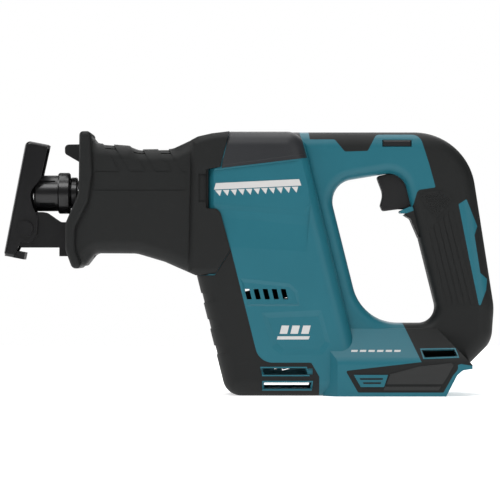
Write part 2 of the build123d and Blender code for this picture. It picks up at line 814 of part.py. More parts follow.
# ---------------------------------------------------------------- motor
pinion_plane = motor_plane(inner_mesh - 1.5)
with BuildPart() as rotor_shaft:
    add(motor_disc(inner_mesh + 6, lower_bearing_at + 9, shaft_radius))
    with BuildSketch(pinion_plane):
        Circle(pinion_pitch_radius - 1)
        with PolarLocations(pinion_pitch_radius - 0.2, pinion_teeth, start_angle=-90):
            Trapezoid(tooth_width + 1.0, 1.9, 74, rotation=-90)
    extrude(amount=mesh_width + 5)
export_piece(rotor_shaft, "rotor_shaft")

with BuildPart() as motor_bearings:
    add(motor_disc(upper_bearing_at, upper_bearing_at + 9, bearing_radius, shaft_radius + 0.03))
    add(motor_disc(lower_bearing_at, lower_bearing_at + 7, 9.5, shaft_radius + 0.03))
export_piece(motor_bearings, "motor_bearings")

with BuildPart() as bearing_retainer:
    add(motor_disc(upper_bearing_at + 9, upper_bearing_at + 11, bearing_radius, 6.5))
export_piece(bearing_retainer, "bearing_retainer")

with BuildPart() as rotor_core:
    add(motor_disc(stator_at, stator_end_at, rotor_radius - 2.5, shaft_radius))
export_piece(rotor_core, "rotor_core")

with BuildPart() as rotor_magnets:
    add(motor_disc(stator_at + 1, stator_end_at - 1, rotor_radius, rotor_radius - 2.5))
export_piece(rotor_magnets, "rotor_magnets")

with BuildPart() as fan:
    add(motor_disc(fan_at + 10, fan_at + 11.5, 24, shaft_radius))
    add(motor_disc(fan_at, fan_at + 11, 8, shaft_radius))
    with BuildSketch(motor_plane(fan_at)):
        with PolarLocations(15.5, fan_blades):
            Rectangle(16.4, 1.4, rotation=18)
    extrude(amount=11)
export_piece(fan, "fan")

with BuildPart() as fan_baffle:
    add(motor_disc(baffle_at, baffle_at + 2, 30.2, 17))
export_piece(fan_baffle, "fan_baffle")

with BuildPart() as stator_core:
    with BuildSketch(motor_plane(stator_at)):
        Circle(motor_radius)
        Circle(motor_radius - 3.6, mode=Mode.SUBTRACT)
        with PolarLocations(18, stator_teeth):
            Rectangle(8, 4.2)
        with PolarLocations(14.3, stator_teeth):
            Rectangle(1.4, 7.4)
        Circle(rotor_radius + 0.5, mode=Mode.SUBTRACT)
    extrude(amount=stator_length)
export_piece(stator_core, "stator_core")

with BuildPart() as stator_coils:
    with BuildSketch(motor_plane(stator_at - 4)):
        with PolarLocations(18.1, stator_teeth):
            Rectangle(5.4, 9)
            Rectangle(7, 4.4, mode=Mode.SUBTRACT)
    extrude(amount=stator_length + 8)
export_piece(stator_coils, "stator_coils")

with BuildPart() as stator_insulators:
    for start in (stator_at - 3, stator_end_at):
        add(motor_disc(start, start + 3, motor_radius - 0.4, motor_radius - 3.4))
export_piece(stator_insulators, "stator_insulators")

with BuildPart() as sensor_board:
    add(motor_disc(stator_end_at + 4, stator_end_at + 5.6, motor_radius - 1, 7))
    add(motor_disc(stator_end_at + 3, stator_end_at + 4, motor_radius - 1, motor_radius - 3))
export_piece(sensor_board, "sensor_board")

# ---------------------------------------------------------------- housing halves
screw_posts = [
    (-12, 40, body_half),
    (57, 12, body_half),
    (60, 62, body_half),
    (48, 120, body_half),
    (28, below_crest(9.8), body_half),
    (66, below_crest(19), grip_half),
    (150, below_crest(19), grip_half),
    (158, 95, grip_half),
    (160, 42, grip_half),
    (116, 38, 29),
]
vent_top_z = 79.8
vent_bottom_z = 72.1
vent_width = 3.7
vent_floor_x = [16.1 + 6.75 * k for k in range(5)]
tunnel = box_between((99.5, -60, below_crest(11.1)), (121.5, 60, below_crest(5.9)))
trigger_window = box_between((98, -trigger_half - 0.4, 138.6), (131, trigger_half + 0.4, below_crest(28.4)))
throat = box_between((-60, -24, 113), (-20, case_floor_y + 14.5, below_crest(8)))
guard_lip = prism(
    [(127, 142, 0), (120, 141.2, 1), (112.8, 138, 1), (113.4, 136.2, 1), (118, 136.4, 0), (127, 140, 0)],
    14,
)
guard_rubber = prism(
    [(116.2, 134.9, 0), (118, 136.4, 0), (127, 140, 0), (127, 118, 0), (121, 132, 3)],
    14,
) - form
grip_slot = prism([(128.2, 34, 1), (152.1, 34.4, 1), (154.4, 30, 1), (130.4, 29, 1)], 60)

shaft_end_room = motor_disc(lower_bearing_at - 1, lower_bearing_at + 7.3, 9.9) + motor_disc(
    lower_bearing_at + 7, lower_bearing_at + 9.6, shaft_radius + 0.6
)

with BuildPart() as ribs:
    add(mid_rib(46, 48, neck_radius + 0.2, 76))
    add(mid_rib(stator_at + 3, stator_at + 5, motor_radius + 0.15, 2 * motor_radius + 4))
    add(mid_rib(stator_end_at - 5, stator_end_at - 3, motor_radius + 0.15, 2 * motor_radius + 4))
    add(mid_rib(lower_bearing_at, lower_bearing_at + 7, 9.6, 2 * motor_radius - 6))
    add(box_between((34, -60, 126), (36, 60, 178)) & room)

with BuildPart() as soft_skin:
    for region in (grip_region, bumper_region, pad_region, crest_region):
        add(prism(region, 60))
    add(prism(inlay_region, 60), mode=Mode.SUBTRACT)
    add(prism(collar_side, 60))
    add(box_between((-50, -boot_half, 60), (housing_front_x + skin, boot_half, crest_z)))
    add(box_between((-34, -60, below_crest(4)), (-14.3, 60, below_crest(-5))))

with BuildPart() as shell:
    add(form - room)
    add(skin_layer & soft_skin.part, mode=Mode.SUBTRACT)
    add(ribs.part)
    for x, z, half in screw_posts:
        add(rod_along("Y", -60, 60, 4.2, (x, z)) & under_skin)
    add(guard_lip)
    add(bay_cut, mode=Mode.SUBTRACT)
    for sign in (-1, 1):
        rail_y = sign * (foot_half - bay_skirt + 0.5)
        inner_y = rail_y - sign * (rail_depth + 0.5)
        add(box_between((79, min(rail_y, inner_y), 5), (141, max(rail_y, inner_y), 8)))
    for panel in (upper_flank, mark_panel, vent_panel, motor_panel):
        add(sunk_panel(*panel), mode=Mode.SUBTRACT)
    for floor_x in vent_floor_x:
        slot = [
            (lean(floor_x, vent_top_z), vent_top_z, 0.4),
            (lean(floor_x, vent_top_z) + vent_width, vent_top_z, 0.4),
            (lean(floor_x, vent_bottom_z) + vent_width, vent_bottom_z, 0.4),
            (lean(floor_x, vent_bottom_z), vent_bottom_z, 0.4),
        ]
        add(prism(slot, 60), mode=Mode.SUBTRACT)
    add(prism([(9.3, 20.6, 1), (41.5, 20.6, 1), (43.7, 16.2, 1), (10.8, 16.2, 1)], 60), mode=Mode.SUBTRACT)
    add(prism([(10.8, 10.1, 1), (46, 10.1, 1), (45.2, 5.6, 1), (10.8, 5.6, 1)], 60), mode=Mode.SUBTRACT)
    add(grip_slot, mode=Mode.SUBTRACT)
    add(tunnel, mode=Mode.SUBTRACT)
    add(trigger_window, mode=Mode.SUBTRACT)
    add(throat, mode=Mode.SUBTRACT)
    add(box_between((66, -22.3, 5.7), (bay_front_x + 1, 22.3, 18.3)), mode=Mode.SUBTRACT)
    add((box_between((0, -1.5, 12), (52, 1.5, 22)) & room) - shaft_end_room)
    for x, z, half in screw_posts:
        add(rod_along("Y", -12, half + 5, 1.55, (x, z)), mode=Mode.SUBTRACT)
        add(rod_along("Y", half - 6, half + 5, 3.4, (x, z)), mode=Mode.SUBTRACT)

with BuildPart() as housing_left:
    add(shell.part & left_half())
export_piece(housing_left, "housing_left")

with BuildPart() as housing_right:
    add(shell.part & right_half())
export_piece(housing_right, "housing_right")

with BuildPart() as housing_screws:
    for x, z, half in screw_posts:
        add(rod_along("Y", -11, half - 5, 1.5, (x, z)))
        add(rod_along("Y", half - 6, half - 3.6, 3, (x, z)))
        add(rod_along("Y", half - 4.8, half - 3, 1.4, (x, z)), mode=Mode.SUBTRACT)
export_piece(housing_screws, "housing_screws")

# ---------------------------------------------------------------- rubber and trim
grip_skin = (skin_layer & prism(grip_region, 60)) - prism(inlay_region, 60) - prism(pad_region, 60)
grip_skin = grip_skin + guard_rubber
for cut in (tunnel, trigger_window, guard_lip, bay_cut, grip_slot):
    grip_skin = grip_skin - cut
bumper_skin = (skin_layer & prism(bumper_region, 60)) - prism(collar_side, 60)
notch_cut = [prism(notch, 60) for notch in bumper_notches]
bumper_skin = bumper_skin - (notch_cut[0] + notch_cut[1] + notch_cut[2] - envelope(recess))
for low, high in ((16.2, 20.6), (5.6, 10.1)):
    bumper_skin = bumper_skin - box_between((9.3, -60, low), (47, 60, high))
pad_skin = (skin_layer & prism(pad_region, 60)) - bay_cut
screw_wells = [rod_along("Y", half - 6, half + 5, 3.4, (x, z)) for x, z, half in screw_posts]

with BuildPart() as grip_left:
    add(grip_skin & left_half())
export_piece(grip_left, "grip_left")

with BuildPart() as grip_right:
    add((grip_skin & right_half()) - screw_wells)
export_piece(grip_right, "grip_right")

with BuildPart() as bumper_left:
    add(bumper_skin & left_half())
export_piece(bumper_left, "bumper_left")

with BuildPart() as bumper_right:
    add((bumper_skin & right_half()) - screw_wells)
export_piece(bumper_right, "bumper_right")

with BuildPart() as foot_pad_left:
    add(pad_skin & box_between((0, -100, -10), (300, -14, 100)))
export_piece(foot_pad_left, "foot_pad_left")

with BuildPart() as foot_pad_right:
    add((pad_skin & box_between((0, 14, -10), (300, 100, 100))) - screw_wells)
export_piece(foot_pad_right, "foot_pad_right")

with BuildPart() as crest_cover:
    add((skin_layer & prism(crest_region, 60)) - prism(collar_side, 60))
export_piece(crest_cover, "crest_cover")

boot_recesses = prism(boot_band, 60)
for k in range(3):
    boot_recesses = boot_recesses + Pos(k * flute_pitch, 0, 0) * prism(boot_flute, 60)
boot_recesses = boot_recesses - slab(boot_side, boot_half, 10, recess)
mouth = box_between((-160, -19, bar_bottom_z - 0.8), (-112, 19, axis_z + 19))
hood_side = [
    (-138.7, below_crest(9.3), 3),
    (-120.0, below_crest(8.9), 0),
    (-120.0, below_crest(24), 0),
    (-128.0, below_crest(22.4), 0),
    (-138.7, below_crest(16.2), 3),
]
lamp_radius = 2.6
lamp_z = below_crest(12.7)
with BuildPart() as front_boot:
    add(boot_form)
    add(prism(hood_side, 10))
    add(boot_room, mode=Mode.SUBTRACT)
    add(
        box_between((housing_front_x + skin, skin - body_half, 60), (0, body_half - skin, below_crest(8))),
        mode=Mode.SUBTRACT,
    )
    add(under_skin, mode=Mode.SUBTRACT)
    add(mouth, mode=Mode.SUBTRACT)
    add(box_between((-144, -8.4, bar_bottom_z - 7), (-116, 8.4, bar_bottom_z)), mode=Mode.SUBTRACT)
    add(boot_recesses, mode=Mode.SUBTRACT)
    for low_y in (-60, collar_half - 1.4):
        add(
            box_between(
                (-37.7, low_y, below_crest(52.7)), (-32.6, low_y + 61.4 - collar_half, below_crest(31.7))
            ),
            mode=Mode.SUBTRACT,
        )
    add(rod_along("X", -150, -134.4, lamp_radius, (0, lamp_z)), mode=Mode.SUBTRACT)
    add(rod_along("Y", 0, 60, 4.5, (bolt_x, bolt_z)), mode=Mode.SUBTRACT)
export_piece(front_boot, "front_boot")

with BuildPart() as led_lens:
    add(rod_along("X", -137.8, -135.4, lamp_radius, (0, lamp_z)))
export_piece(led_lens, "led_lens")

with BuildPart() as led_board:
    add(rod_along("X", -135.4, -134.4, lamp_radius, (0, lamp_z)))
export_piece(led_board, "led_board")

# ---------------------------------------------------------------- controls and electronics
trigger_side = [
    (95.5, 164.2, 2),
    (104.5, 166.2, 2),
    (124, 166.2, 1),
    (124, 139.6, 1),
    (112.0, 139.4, 2),
    (100.0, 137.9, 2),
    (98.4, 142, 2),
    (100.6, 150.5, 12),
]
with BuildPart() as trigger:
    add(prism(trigger_side, trigger_half))
    fillet(trigger.edges().filter_by(Plane.XZ).group_by(Axis.X)[0], radius=1)
    add(rod_along("X", 124, 136, 3, (0, 153)))
export_piece(trigger, "trigger")

with BuildPart() as switch_body:
    add(box_between((131, -10, 135), (155, 10, 166)))
    add(rod_along("X", 131, 144, 3.3, (0, 153)), mode=Mode.SUBTRACT)
export_piece(switch_body, "switch_body")

with BuildPart() as lock_off:
    add(box_between((100, -18.8, below_crest(10.6)), (121, 14.8, below_crest(6.4))))
    chamfer(lock_off.faces().sort_by(Axis.Y)[0].edges(), 0.8)
    chamfer(lock_off.faces().sort_by(Axis.Y)[-1].edges(), 0.8)
export_piece(lock_off, "lock_off")

with BuildPart() as controller:
    add(box_between((60, -21, 24), (102, 21, 36)))
    chamfer(controller.edges().filter_by(Axis.Z), 2)
export_piece(controller, "controller")

with BuildPart() as controller_potting:
    add(box_between((62, -19, 36), (100, 19, 37.2)))
export_piece(controller_potting, "controller_potting")

blade_spots = (-14, 0, 14)
with BuildPart() as terminal_block:
    add(box_between((66, -22, 6), (84, 22, 18)))
    for y in blade_spots:
        add(box_between((65, y - 0.4, 8), (95, y + 0.4, 16)), mode=Mode.SUBTRACT)
export_piece(terminal_block, "terminal_block")

with BuildPart() as terminal_blades:
    for y in blade_spots:
        add(box_between((66, y - 0.4, 8), (98, y + 0.4, 16)))
export_piece(terminal_blades, "terminal_blades")


def lead(points, radius):
    """Round wire along a smooth line through points."""
    with BuildPart() as wire:
        with BuildLine() as run:
            Spline(*points)
        with BuildSketch(Plane(origin=run.line @ 0, z_dir=run.line % 0)):
            Circle(radius)
        sweep()
    return wire.part


lead_start = motor_plane(stator_end_at + 4.8).from_local_coords((motor_radius - 0.4, 0, 0))
with BuildPart() as motor_leads:
    for y in (-6, 0, 6):
        add(lead([(lead_start.X, y, lead_start.Z), (54.4, y, 33.6), (59.3, y, 31.5)], 1.2))
export_piece(motor_leads, "motor_leads")

with BuildPart() as switch_leads:
    for y in (-3, 3):
        add(lead([(146, y, 134.8), (150, y, 105), (155, y, 70), (143, y, 42), (118, y, 31), (102.1, y, 30)], 1.0))
export_piece(switch_leads, "switch_leads")
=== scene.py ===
"""Looks of a compact cordless reciprocating saw, laid out as an add-on and run as a script."""

import json
import math

import bmesh
import bpy
from bpy.props import FloatProperty, FloatVectorProperty, IntProperty, PointerProperty
from bpy.types import Operator, Panel, PropertyGroup
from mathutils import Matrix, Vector
from mathutils.bvhtree import BVHTree


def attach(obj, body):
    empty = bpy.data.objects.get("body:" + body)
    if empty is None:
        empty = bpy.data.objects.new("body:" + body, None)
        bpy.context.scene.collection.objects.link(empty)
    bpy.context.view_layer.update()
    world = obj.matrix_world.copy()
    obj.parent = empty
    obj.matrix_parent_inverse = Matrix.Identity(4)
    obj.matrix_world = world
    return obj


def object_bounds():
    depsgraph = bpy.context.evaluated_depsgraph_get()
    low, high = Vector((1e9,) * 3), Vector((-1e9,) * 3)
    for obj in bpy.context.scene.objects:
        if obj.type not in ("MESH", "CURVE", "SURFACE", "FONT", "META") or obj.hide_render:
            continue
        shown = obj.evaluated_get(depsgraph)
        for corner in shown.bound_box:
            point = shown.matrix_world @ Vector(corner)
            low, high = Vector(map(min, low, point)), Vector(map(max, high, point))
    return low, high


bl_info = {
    "name": "Reciprocating saw looks",
    "version": (1, 0, 0),
    "blender": (4, 5, 0),
    "location": "3D View > Sidebar > Saw",
    "description": "Finishes, marks and moulded detail of a cordless reciprocating saw",
    "category": "Object",
}

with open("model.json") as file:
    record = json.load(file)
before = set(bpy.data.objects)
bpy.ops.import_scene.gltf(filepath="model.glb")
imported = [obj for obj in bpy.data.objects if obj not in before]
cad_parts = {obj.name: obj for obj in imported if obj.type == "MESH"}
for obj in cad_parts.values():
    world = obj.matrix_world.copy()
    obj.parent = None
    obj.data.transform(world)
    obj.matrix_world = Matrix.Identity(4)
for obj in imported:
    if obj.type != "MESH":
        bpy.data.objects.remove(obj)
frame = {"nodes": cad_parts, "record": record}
CAD_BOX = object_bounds()
NODES = frame["nodes"]
MM = 0.001


# ------------------------------------------------------------------ sizes and colours
class SawSizes(PropertyGroup):
    teal: FloatVectorProperty(
        name="Shell colour",
        description="Colour of the moulded housing",
        subtype="COLOR",
        default=(0.0125, 0.122, 0.162),
    )
    rubber: FloatVectorProperty(
        name="Rubber colour",
        description="Colour of the overmoulded rubber and the boot",
        subtype="COLOR",
        default=(0.0072, 0.0079, 0.0078),
    )
    mark: FloatVectorProperty(
        name="Mark colour",
        description="Colour of the printed marks",
        subtype="COLOR",
        default=(0.56, 0.555, 0.545),
    )
    grain: FloatProperty(
        name="Grain size",
        description="Size of the moulded texture's grains",
        unit="LENGTH",
        default=0.0006,
        min=0.0001,
    )
    mark_lift: FloatProperty(
        name="Mark lift",
        description="How far a printed mark stands off the shell",
        unit="LENGTH",
        default=0.00012,
        min=0.00001,
    )
    stud_size: FloatProperty(
        name="Stud size",
        description="Width across one stud of the grip's patch",
        unit="LENGTH",
        default=0.0021,
        min=0.0005,
    )
    rib_count: IntProperty(
        name="Grip ribs",
        description="Number of ribs down the side of the grip",
        default=5,
        min=2,
    )


def sizes():
    return bpy.context.scene.saw_sizes


# ------------------------------------------------------------------ shader groups
def group_socket(tree, name, kind, default=None, way="INPUT"):
    made = tree.interface.new_socket(name=name, in_out=way, socket_type=kind)
    if default is not None:
        made.default_value = default
    return made


def maths(tree, operation, first, second=None, third=None, clamp=False):
    """Adds a Math node fed by sockets or plain numbers, and returns its output."""
    node = tree.nodes.new("ShaderNodeMath")
    node.operation = operation
    node.use_clamp = clamp
    for socket, value in zip(node.inputs, (first, second, third)):
        if value is None:
            continue
        if isinstance(value, (int, float)):
            socket.default_value = value
        else:
            tree.links.new(value, socket)
    return node.outputs[0]


def grain_group():
    """Moulded grain: a fine height, a slow mottle and a few scuffs, all on Object coordinates."""
    tree = bpy.data.node_groups.new("moulded_grain", "ShaderNodeTree")
    group_socket(tree, "Size", "NodeSocketFloat", 0.0006)
    group_socket(tree, "Depth", "NodeSocketFloat", 0.00002)
    group_socket(tree, "Seed", "NodeSocketFloat", 0.0)
    group_socket(tree, "Height", "NodeSocketFloat", way="OUTPUT")
    group_socket(tree, "Mottle", "NodeSocketFloat", way="OUTPUT")
    group_socket(tree, "Scuff", "NodeSocketFloat", way="OUTPUT")
    given = tree.nodes.new("NodeGroupInput")
    result = tree.nodes.new("NodeGroupOutput")
    place = tree.nodes.new("ShaderNodeTexCoord")
    scale = maths(tree, "DIVIDE", 1.0, given.outputs["Size"])

    fine = tree.nodes.new("ShaderNodeTexNoise")
    fine.noise_dimensions = "4D"
    fine.inputs["Detail"].default_value = 3
    tree.links.new(place.outputs["Object"], fine.inputs["Vector"])
    tree.links.new(scale, fine.inputs["Scale"])
    tree.links.new(given.outputs["Seed"], fine.inputs["W"])
    height = maths(tree, "MULTIPLY", fine.outputs["Fac"], given.outputs["Depth"])
    tree.links.new(height, result.inputs["Height"])

    slow = tree.nodes.new("ShaderNodeTexNoise")
    slow.noise_dimensions = "4D"
    slow.inputs["Scale"].default_value = 28
    slow.inputs["Detail"].default_value = 5
    tree.links.new(place.outputs["Object"], slow.inputs["Vector"])
    tree.links.new(given.outputs["Seed"], slow.inputs["W"])
    tree.links.new(slow.outputs["Fac"], result.inputs["Mottle"])

    streak = tree.nodes.new("ShaderNodeTexNoise")
    streak.inputs["Scale"].default_value = 55
    streak.inputs["Detail"].default_value = 8
    streak.inputs["Distortion"].default_value = 1.5
    tree.links.new(place.outputs["Object"], streak.inputs["Vector"])
    scuffed = tree.nodes.new("ShaderNodeMapRange")
    scuffed.inputs["From Min"].default_value = 0.62
    scuffed.inputs["From Max"].default_value = 0.72
    tree.links.new(streak.outputs["Fac"], scuffed.inputs["Value"])
    tree.links.new(scuffed.outputs["Result"], result.inputs["Scuff"])
    return tree


def fold_group():
    """A step across a line in the side view: the height rises by Rise over Width past the line."""
    tree = bpy.data.node_groups.new("moulded_fold", "ShaderNodeTree")
    for name, value in (("X", 0.0), ("Z", 0.0), ("Turn", 0.0), ("Width", 0.005), ("Rise", 0.001)):
        group_socket(tree, name, "NodeSocketFloat", value)
    group_socket(tree, "Height", "NodeSocketFloat", way="OUTPUT")
    given = tree.nodes.new("NodeGroupInput")
    result = tree.nodes.new("NodeGroupOutput")
    place = tree.nodes.new("ShaderNodeTexCoord")
    split = tree.nodes.new("ShaderNodeSeparateXYZ")
    tree.links.new(place.outputs["Object"], split.inputs[0])
    across = maths(tree, "SUBTRACT", split.outputs["X"], given.outputs["X"])
    up = maths(tree, "SUBTRACT", split.outputs["Z"], given.outputs["Z"])
    along_x = maths(tree, "MULTIPLY", across, maths(tree, "COSINE", given.outputs["Turn"]))
    along_z = maths(tree, "MULTIPLY", up, maths(tree, "SINE", given.outputs["Turn"]))
    past = maths(tree, "ADD", along_x, along_z)
    step = tree.nodes.new("ShaderNodeMapRange")
    step.interpolation_type = "SMOOTHSTEP"
    tree.links.new(past, step.inputs["Value"])
    tree.links.new(given.outputs["Width"], step.inputs["From Max"])
    tree.links.new(given.outputs["Rise"], step.inputs["To Max"])
    tree.links.new(step.outputs["Result"], result.inputs["Height"])
    return tree


# ------------------------------------------------------------------ materials
ROUGHNESS_SPREAD = 0.12
MOTOR_LEAN = (0, math.radians(14), 0)
WAVE_PER_PITCH = 0.314  # a band texture's scale times its pitch


def place_group(tree, name, **values):
    node = tree.nodes.new("ShaderNodeGroup")
    node.node_tree = bpy.data.node_groups[name]
    for socket, value in values.items():
        node.inputs[socket].default_value = value
    return node


def new_material(name, colour, roughness, metallic=0.0):
    """A material whose shader has one colour and one roughness."""
    made = bpy.data.materials.new(name)
    made.use_nodes = True
    made.diffuse_color = (*colour, 1)
    shader = made.node_tree.nodes["Principled BSDF"]
    shader.inputs["Base Color"].default_value = (*colour, 1)
    shader.inputs["Roughness"].default_value = roughness
    shader.inputs["Metallic"].default_value = metallic
    return made


def textured(
    name,
    colour,
    roughness,
    metallic=0.0,
    size=0.0006,
    depth=0.00002,
    mottle=0.12,
    scuff=0.05,
    seed=0.0,
    folds=(),
    coat=0.0,
    specular=0.5,
):
    """A moulded or machined finish: grain for bump, mottle for colour and roughness, light scuffs."""
    made = new_material(name, colour, roughness, metallic)
    tree = made.node_tree
    shader = tree.nodes["Principled BSDF"]
    shader.inputs["Coat Weight"].default_value = coat
    shader.inputs["Specular IOR Level"].default_value = specular
    grain = place_group(tree, "moulded_grain", Size=size, Depth=depth, Seed=seed)

    shade = tree.nodes.new("ShaderNodeMix")
    shade.data_type = "RGBA"
    shade.inputs["A"].default_value = (*[c * (1 - mottle) for c in colour], 1)
    shade.inputs["B"].default_value = (*[min(1, c * (1 + mottle)) for c in colour], 1)
    tree.links.new(grain.outputs["Mottle"], shade.inputs["Factor"])
    worn = tree.nodes.new("ShaderNodeMix")
    worn.data_type = "RGBA"
    worn.inputs["B"].default_value = (*[min(1, c * 1.6 + 0.01) for c in colour], 1)
    tree.links.new(shade.outputs["Result"], worn.inputs["A"])
    tree.links.new(maths(tree, "MULTIPLY", grain.outputs["Scuff"], scuff), worn.inputs["Factor"])
    tree.links.new(worn.outputs["Result"], shader.inputs["Base Color"])

    rough = tree.nodes.new("ShaderNodeMapRange")
    rough.inputs["To Min"].default_value = roughness - ROUGHNESS_SPREAD / 2
    rough.inputs["To Max"].default_value = min(1.0, roughness + ROUGHNESS_SPREAD / 2)
    tree.links.new(grain.outputs["Mottle"], rough.inputs["Value"])
    tree.links.new(rough.outputs["Result"], shader.inputs["Roughness"])

    height = grain.outputs["Height"]
    for fold in folds:
        step = place_group(tree, "moulded_fold", **fold)
        height = maths(tree, "ADD", height, step.outputs["Height"])
    bump = tree.nodes.new("ShaderNodeBump")
    bump.inputs["Distance"].default_value = 1.0
    bump.inputs["Strength"].default_value = 1.0
    tree.links.new(height, bump.inputs["Height"])
    tree.links.new(bump.outputs["Normal"], shader.inputs["Normal"])
    return made


def banded(name, colour, dark, roughness, pitch):
    """A metal finish with fine bands across the motor's axis, as on laminations or wound wire."""
    made = textured(name, colour, roughness, 1.0, size=0.0004, depth=0.000006, mottle=0.08)
    tree = made.node_tree
    shader = tree.nodes["Principled BSDF"]
    place = tree.nodes.new("ShaderNodeTexCoord")
    turn = tree.nodes.new("ShaderNodeMapping")
    turn.inputs["Rotation"].default_value = MOTOR_LEAN
    tree.links.new(place.outputs["Object"], turn.inputs["Vector"])
    bands = tree.nodes.new("ShaderNodeTexWave")
    bands.wave_type = "BANDS"
    bands.bands_direction = "Z"
    bands.inputs["Scale"].default_value = WAVE_PER_PITCH / pitch
    bands.inputs["Distortion"].default_value = 0.3
    tree.links.new(turn.outputs["Vector"], bands.inputs["Vector"])
    mix = tree.nodes.new("ShaderNodeMix")
    mix.data_type = "RGBA"
    mix.inputs["A"].default_value = (*dark, 1)
    mix.inputs["B"].default_value = (*colour, 1)
    tree.links.new(bands.outputs["Fac"], mix.inputs["Factor"])
    tree.links.new(mix.outputs["Result"], shader.inputs["Base Color"])
    return made


def clear_lens(name):
    made = new_material(name, (0.92, 0.95, 1.0), 0.06)
    tree = made.node_tree
    shader = tree.nodes["Principled BSDF"]
    shader.inputs["Transmission Weight"].default_value = 0.85
    shader.inputs["IOR"].default_value = 1.49
    grain = place_group(tree, "moulded_grain", Size=0.0012, Depth=0.00004)
    bump = tree.nodes.new("ShaderNodeBump")
    bump.inputs["Distance"].default_value = 1.0
    tree.links.new(grain.outputs["Height"], bump.inputs["Height"])
    tree.links.new(bump.outputs["Normal"], shader.inputs["Normal"])
    return made


def line_fold(start, end, width, rise):
    """A fold past the line from start to end, on its right-hand side as it runs, in millimetres."""
    run_x, run_z = end[0] - start[0], end[1] - start[1]
    return {
        "X": start[0] * MM,
        "Z": start[1] * MM,
        "Turn": math.atan2(-run_x, run_z),
        "Width": width * MM,
        "Rise": rise * MM,
    }


COVER_FOLDS = (line_fold((-17.6, 172.6), (41.6, 180.6), 0.6, -0.35),)

GRAINED = {
    "black_plastic": ("black_moulding", (0.009, 0.009, 0.0095), 0.42),
    "black_steel": ("blackened_steel", (0.006, 0.006, 0.0065), 0.3),
    "bright_steel": ("ground_steel", (0.6, 0.6, 0.61), 0.24),
    "cast_alloy": ("die_cast_alloy", (0.5, 0.51, 0.52), 0.48),
    "sintered_bronze": ("sintered_bronze", (0.42, 0.29, 0.14), 0.45),
    "magnets": ("plated_magnets", (0.4, 0.4, 0.41), 0.25),
    "board_green": ("circuit_board", (0.02, 0.13, 0.05), 0.35),
    "insulator_white": ("white_moulding", (0.68, 0.67, 0.62), 0.5),
    "contact_brass": ("contact_brass", (0.7, 0.5, 0.2), 0.28),
    "seal_felt": ("seal_felt", (0.1, 0.1, 0.1), 0.95),
    "spring_steel": ("spring_wire", (0.5, 0.5, 0.52), 0.28),
}
GRAIN_OF = {
    "black_plastic": {"size": 0.0006, "depth": 0.000012, "seed": 9.0, "specular": 0.3},
    "black_steel": {
        "size": 0.0009, "depth": 0.000012, "scuff": 0.25, "coat": 0.1, "seed": 11.0, "specular": 0.35
    },
    "bright_steel": {"metallic": 1.0, "size": 0.0003, "depth": 0.000004, "seed": 13.0},
    "cast_alloy": {"metallic": 1.0, "size": 0.0009, "depth": 0.00003, "seed": 15.0},
    "sintered_bronze": {"metallic": 1.0, "size": 0.0003, "depth": 0.00002, "seed": 17.0},
    "magnets": {"metallic": 1.0, "seed": 19.0},
    "board_green": {"size": 0.0015, "depth": 0.00002, "mottle": 0.25, "coat": 0.4, "seed": 21.0},
    "insulator_white": {"seed": 23.0},
    "contact_brass": {"metallic": 1.0, "seed": 25.0},
    "seal_felt": {"size": 0.0004, "depth": 0.0001, "seed": 27.0},
    "spring_steel": {"metallic": 1.0, "seed": 29.0},
}


class SAW_OT_finishes(Operator):
    """Makes every finish and gives each CAD node its own"""

    bl_idname = "saw.finishes"
    bl_label = "Finishes"

    def execute(self, context):
        s = sizes()
        grain_group()
        fold_group()
        teal = tuple(s.teal)
        rubber = tuple(s.rubber)
        made = {
            "teal_shell": textured(
                "moulded_teal", teal, 0.4, size=s.grain, depth=0.000018, mottle=0.06, specular=0.3
            ),
            "black_rubber": textured(
                "moulded_rubber",
                rubber,
                0.58,
                size=s.grain * 1.1,
                depth=0.00003,
                mottle=0.14,
                scuff=0.12,
                seed=3.0,
                specular=0.26,
            ),
            "dark_plastic": textured(
                "crest_plastic",
                (0.02, 0.021, 0.0235),
                0.46,
                size=s.grain,
                depth=0.000022,
                seed=7.0,
                folds=COVER_FOLDS,
                specular=0.3,
            ),
            "copper": banded("wound_copper", (0.62, 0.27, 0.12), (0.25, 0.08, 0.03), 0.32, 0.0009),
            "laminations": banded(
                "stacked_laminations", (0.34, 0.34, 0.35), (0.12, 0.12, 0.13), 0.4, 0.0005
            ),
            "lens_clear": clear_lens("clear_lens"),
        }
        for slot, (name, colour, roughness) in GRAINED.items():
            made[slot] = textured(name, colour, roughness, **GRAIN_OF[slot])
        for part in frame["record"]["subparts"]:
            mesh = NODES[part["node"]].data
            mesh.materials.clear()
            mesh.materials.append(made[part["material_slot"]])
        return {"FINISHED"}


# ------------------------------------------------------------------ mesh helpers
def new_piece(name, mesh, material, body="tool"):
    """Puts a finished mesh into the scene, riding on its body."""
    piece = bpy.data.objects.new(name, mesh)
    bpy.context.scene.collection.objects.link(piece)
    if material is not None:
        mesh.materials.clear()
        mesh.materials.append(material)
    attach(piece, body)
    return piece


def surface_of(*nodes):
    """Ray-casting tree of some CAD nodes' surfaces."""
    points, faces = [], []
    for node in nodes:
        mesh = NODES[node].data
        start = len(points)
        points.extend(v.co.copy() for v in mesh.vertices)
        faces.extend([start + i for i in p.vertices] for p in mesh.polygons)
    return BVHTree.FromPolygons(points, faces)


def spot_on(tree, side, x, z):
    """Point and normal where a line across the tool meets a surface, coming from one side."""
    hit, normal, _, _ = tree.ray_cast(Vector((x, side * 0.2, z)), Vector((0, -side, 0)))
    if hit is None:
        raise RuntimeError(f"nothing lies across the tool at {x:.4f}, {z:.4f}")
    return hit, normal if normal.y * side > 0 else -normal


